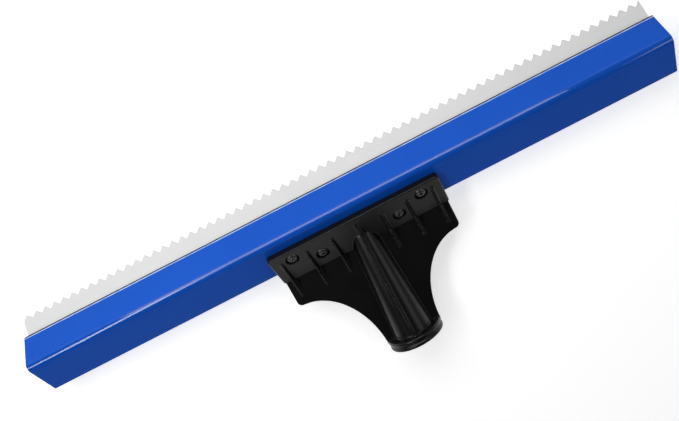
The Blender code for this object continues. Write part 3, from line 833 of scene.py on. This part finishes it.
def fan_outline():
    """Right half of the fan plate from its top to the rim, in (X, distance along the socket axis)."""
    scallop = (NECK_HALF_WIDTH + SCALLOP_WIDTH, PLATE_CORNER_HEIGHT + SCALLOP_HEIGHT)
    corner = (PLATE_HALF_WIDTH - PLATE_CORNER_RADIUS, PLATE_CORNER_HEIGHT - PLATE_CORNER_RADIUS)
    side = [(PLATE_HALF_WIDTH, -ROOT), *arc(corner, PLATE_CORNER_RADIUS, 0, CORNER_ARC, 8)]
    curve = arc(scallop, (SCALLOP_WIDTH, SCALLOP_HEIGHT), SCALLOP_ARC, -pi, 40)
    return side + curve + [(NECK_HALF_WIDTH, RIM_START + ROOT)]


def socket_profile():
    """(radius, distance along the axis) from the rounded top to the mouth."""
    top = (SOCKET_TOP_RADIUS - SOCKET_TOP_ROUNDING, SOCKET_TOP + SOCKET_TOP_ROUNDING)
    groove = (RIM_START + RIM_END - RIM_GROOVE_WIDTH) / 2
    inner = RIM_RADIUS - RIM_SOFTNESS
    bands = []
    for start, end in ((RIM_START, groove), (groove + RIM_GROOVE_WIDTH, RIM_END)):
        bands += arc((inner, start + RIM_SOFTNESS), RIM_SOFTNESS, -pi / 2, 0, 6)
        bands += arc((inner, end - RIM_SOFTNESS), RIM_SOFTNESS, 0, pi / 2, 6)
    floor_radius = RIM_RADIUS - RIM_GROOVE_DEPTH
    middle = len(bands) // 2
    bands[middle:middle] = [(floor_radius, groove), (floor_radius, groove + RIM_GROOVE_WIDTH)]
    return [
        (0, SOCKET_TOP),
        *arc(top, SOCKET_TOP_ROUNDING, -pi / 2, 0, 8),
        (SOCKET_END_RADIUS, RIM_START),
        *bands,
        (0, RIM_END),
    ]


def on_socket(along, height):
    """The (Y, Z) point this far along the socket axis and this high above it, towards the outer side."""
    return (
        SOCKET_AXIS_ORIGIN[0] + along * cos(SOCKET_SLOPE) - height * sin(SOCKET_SLOPE),
        SOCKET_AXIS_ORIGIN[1] - along * sin(SOCKET_SLOPE) - height * cos(SOCKET_SLOPE),
    )


def fin_outline():
    """(Y, Z) of the fin that runs from the flange over the cone to the rim."""
    end = RIM_START + RIM_ROUNDING / 2
    return [
        (FLANGE_TOP + FIN_START, FLANGE_FRONT),
        on_socket(end, PLATE_THICKNESS / 2 + FIN_HEIGHT),
        on_socket(end, SOCKET_TOP_RADIUS / 2),
        on_socket(SOCKET_TOP / 2, SOCKET_TOP_RADIUS / 2),
        (FLANGE_TOP + FIN_START, FLANGE_FRONT + FLANGE_THICKNESS / 2),
    ]


def rib_outline():
    """(Y, Z) of a gusset between the flange and the fan plate."""
    return [
        (FLANGE_TOP + RIB_START, FLANGE_FRONT),
        on_socket(RIB_REACH, PLATE_THICKNESS / 2),
        on_socket(RIB_REACH, 0),
        (FLANGE_BOTTOM - ROOT, FLANGE_FRONT + FLANGE_THICKNESS / 2),
        (FLANGE_TOP + RIB_START, FLANGE_FRONT + FLANGE_THICKNESS / 2),
    ]


def flange_outline():
    edge = FLANGE_WIDTH / 2 - FLANGE_CORNER
    return [
        *arc((edge, FLANGE_TOP + FLANGE_CORNER), FLANGE_CORNER, -pi / 2, 0, 8),
        (FLANGE_WIDTH / 2, FLANGE_BOTTOM),
    ]


def make_bracket():
    axis_up = Matrix.Rotation(-pi / 2, 4, "X")
    into_section = SECTION.inverted() @ SOCKET
    flange = prism(mirrored(flange_outline()), FLANGE_FRONT, FLANGE_BACK + SEAT_ALLOWANCE)
    lip_low = (-LIP_WIDTH / 2, TOP_WALL + GAP, FLANGE_BACK - FLANGE_THICKNESS / 2)
    lip_high = (LIP_WIDTH / 2, TOP_WALL + GAP + LIP_THICKNESS, LIP_HEIGHT)
    half_plate = PLATE_THICKNESS / 2
    plate = bevelled(prism(mirrored(fan_outline()), -half_plate, half_plate), PLATE_EDGE)
    joined = [
        box(lip_low, lip_high),
        placed(plate, into_section),
        placed(turned(socket_profile(), SOCKET_STEPS), into_section @ axis_up),
        placed(prism(fin_outline(), -FIN_THICKNESS / 2, FIN_THICKNESS / 2), ACROSS),
    ]
    for number in range(1, RIBS_A_SIDE + 1):
        for side in (-1, 1):
            middle = side * number * RIB_PITCH
            rib = prism(rib_outline(), middle - RIB_THICKNESS / 2, middle + RIB_THICKNESS / 2)
            joined.append(placed(rib, ACROSS))
    bracket = combined(bevelled(flange, FLANGE_EDGE), joined, "UNION")

    seat = box((-FLANGE_WIDTH, -BEND_RADIUS, FLANGE_BACK), (FLANGE_WIDTH, TOP_WALL + GAP, FRONT_WALL))
    bore_end = RIM_END - BORE_DEPTH
    taper = (BORE_MOUTH_RADIUS - BORE_END_RADIUS) / BORE_DEPTH
    bore_profile = [
        (0, bore_end),
        (BORE_END_RADIUS, bore_end),
        (BORE_MOUTH_RADIUS + taper * CUT, RIM_END + CUT),
        (0, RIM_END + CUT),
    ]
    bore = turned(bore_profile, SOCKET_STEPS)
    pockets = rods(SCREW_PLACES, POCKET_RADIUS, FLANGE_FRONT - POCKET_CLEAR, POCKET_FLOOR)
    holes = rods(SCREW_PLACES, SCREW_SHANK_RADIUS + GAP, POCKET_FLOOR - CUT, FLANGE_BACK + CUT)
    cuts = [seat, placed(bore, into_section @ axis_up), *pockets, *holes]
    bracket = combined(bracket, cuts, "DIFFERENCE")
    bracket = worked(
        bracket,
        ("REMESH", {"mode": "VOXEL", "voxel_size": MOULD_CELL}),
        ("SMOOTH", {"factor": MOULD_SOFTENING, "iterations": MOULD_SMOOTHING}),
        ("DECIMATE", {"ratio": MOULD_KEPT}),
    )
    show(
        "moulded_bracket", bracket, SECTION, BLACK_MOULDING, "black_plastic", "handle_bracket",
        smooth=60,
        spread=4,
    )


# --- bracket screws, washers and nuts ---


def cross_outline():
    """A cross recess's mouth, its arms meeting in small curves."""
    long, wide = RECESS_LENGTH / 2, RECESS_WIDTH / 2
    quarter = [(long, wide), (wide * RECESS_FILLET, wide * RECESS_FILLET), (wide, long)]
    points = []
    for turn in range(4):
        c, s = cos(turn * pi / 2), sin(turn * pi / 2)
        points += [(c * x - s * y, s * x + c * y) for x, y in quarter]
    return points


def make_bracket_screws():
    seat = POCKET_FLOOR - GAP
    nut_end = SHEET + WASHER_THICKNESS + NUT_HEX_HEIGHT + NUT_COLLAR_HEIGHT + 2 * GAP
    dome_height = SCREW_HEAD_HEIGHT - SCREW_HEAD_SIDE
    dome = [
        (SCREW_HEAD_RADIUS * sin(radians(a)), seat - SCREW_HEAD_SIDE - dome_height * cos(radians(a)))
        for a in range(0, 91, 9)
    ]
    head = turned([*dome, (SCREW_HEAD_RADIUS, seat), (0, seat)])
    top = seat - SCREW_HEAD_HEIGHT
    half_turn = Matrix.Rotation(pi, 4, "X")
    recess = placed(prism(cross_outline(), -top - RECESS_DEPTH, -top + CUT, RECESS_TAPER), half_turn)
    shank = threaded_rod(SCREW_SHANK_RADIUS, seat - SCREW_HEAD_SIDE / 2, nut_end + SCREW_PROTRUSION)
    screw = combined(combined(head, [shank], "UNION"), [recess], "DIFFERENCE")
    for number, (x, y) in enumerate(SCREW_PLACES, 1):
        turn = Matrix.Rotation(number * RECESS_TURN, 4, "Z")
        matrix = SECTION @ Matrix.Translation((x, y, 0)) @ turn
        node = f"bracket_screw_{number}"
        show(f"pan_screw_{number}", screw.copy(), matrix, BLACK_OXIDE, "black_steel", node)


def make_washers():
    hole = SCREW_SHANK_RADIUS + GAP
    low = SHEET + GAP
    high = low + WASHER_THICKNESS
    outline = [(hole, low), (WASHER_RADIUS, low), (WASHER_RADIUS, high), (hole, high)]
    ring = turned(softened(outline, WASHER_EDGE))
    for number, (x, y) in enumerate(SCREW_PLACES, 1):
        matrix = SECTION @ Matrix.Translation((x, y, 0))
        show(f"flat_washer_{number}", ring.copy(), matrix, ZINC, "bright_steel", f"bracket_washer_{number}")


def make_nuts():
    """Lock nuts: a chamfered hexagon, a rolled collar and the nylon ring inside it."""
    low = SHEET + WASHER_THICKNESS + 2 * GAP
    high = low + NUT_HEX_HEIGHT
    end = high + NUT_COLLAR_HEIGHT
    hole = SCREW_SHANK_RADIUS + GAP
    roll = (NUT_COLLAR_RADIUS - NYLON_RADIUS) / 2
    body = hexagon(NUT_FLATS, low, high)
    collar = turned([
        (NYLON_RADIUS, high - CUT / 2),
        (NUT_COLLAR_RADIUS, high - CUT / 2),
        (NUT_COLLAR_RADIUS, end - roll),
        *arc((NYLON_RADIUS + roll, end - roll), roll, 0, pi, 6)[1:-1],
        (NYLON_RADIUS, end - roll),
    ])
    bored = combined(body, rods([(0, 0)], hole, low - CUT, high + CUT), "DIFFERENCE")
    nut = combined(bored, [collar], "UNION")
    ring_outline = [(hole, high), (NYLON_RADIUS, high), (NYLON_RADIUS, end - roll), (hole, end - roll)]
    ring = turned(softened(ring_outline, roll / 2))
    for number, (x, y) in enumerate(SCREW_PLACES, 1):
        turn = Matrix.Rotation(number * RECESS_TURN, 4, "Z")
        matrix = SECTION @ Matrix.Translation((x, y, 0)) @ turn
        show(f"lock_nut_{number}", nut.copy(), matrix, ZINC, "bright_steel", f"bracket_nut_{number}")
        show(f"nylon_ring_{number}", ring.copy(), matrix, NYLON, "grey_rubber")


def make_floor():
    floor_mesh = box((-FLOOR_REACH, -FLOOR_REACH, -FLOOR_DEPTH), (FLOOR_REACH, FLOOR_REACH, 0))
    floor_mesh.materials.append(studio_floor())
    carried(floor_mesh, "floor")


# --- how the tool lies ---


def blade_tip(face):
    """The (Y, Z) of the tips on one face of the blade."""
    return (
        FOLD_CENTRE[0] - BLADE_REACH * sin(LEAN) - face * cos(LEAN),
        FOLD_CENTRE[1] + BLADE_REACH * cos(LEAN) - face * sin(LEAN),
    )


def across(point):
    """Where a (Y, Z) point ends up along world Y, before the tool is centred."""
    return point[0] * cos(turn) - point[1] * sin(turn)


def level(point):
    """Where a (Y, Z) point ends up along world Z, before the tool is set down."""
    return point[0] * sin(turn) + point[1] * cos(turn)


tip = blade_tip(BLADE_BACK)
rim = on_socket(RIM_START + RIM_ROUNDING, -RIM_RADIUS)
turn = pi - atan2(rim[1] - tip[1], rim[0] - tip[0])
front_end = across(blade_tip(BLADE_FRONT))
rear_end = min(across(on_socket(RIM_END, side * (RIM_RADIUS - RIM_ROUNDING))) for side in (-1, 1))
SECTION = Matrix.Translation((0, -(front_end + rear_end) / 2, -level(tip))) @ Matrix.Rotation(turn, 4, "X")
BLADE = SECTION @ Matrix.Translation((0, *FOLD_CENTRE)) @ Matrix.Rotation(pi / 2 + LEAN, 4, "X")
SOCKET = SECTION @ Matrix.Translation((0, *SOCKET_AXIS_ORIGIN)) @ Matrix.Rotation(-SOCKET_SLOPE, 4, "X")
ACROSS = Matrix.Rotation(pi / 2, 4, "Z") @ Matrix.Rotation(pi / 2, 4, "X")

BLUE_ENAMEL = blue_enamel()
PALE_RUBBER = pale_rubber()
BLACK_MOULDING = black_moulding()
BLACK_OXIDE = black_oxide()
ZINC = zinc_plate("zinc_plate", (1, 1, 1))
ZINC_DRAWN = zinc_plate("zinc_plate_drawn", (40, 1, 1))
NYLON = nylon()

bpy.context.scene.view_settings.view_transform = "Standard"
make_camera()
make_lights()
make_surroundings()
make_floor()
make_holder()
make_blade()
make_strip()
make_clamp_screws()
make_bracket()
make_bracket_screws()
make_washers()
make_nuts()
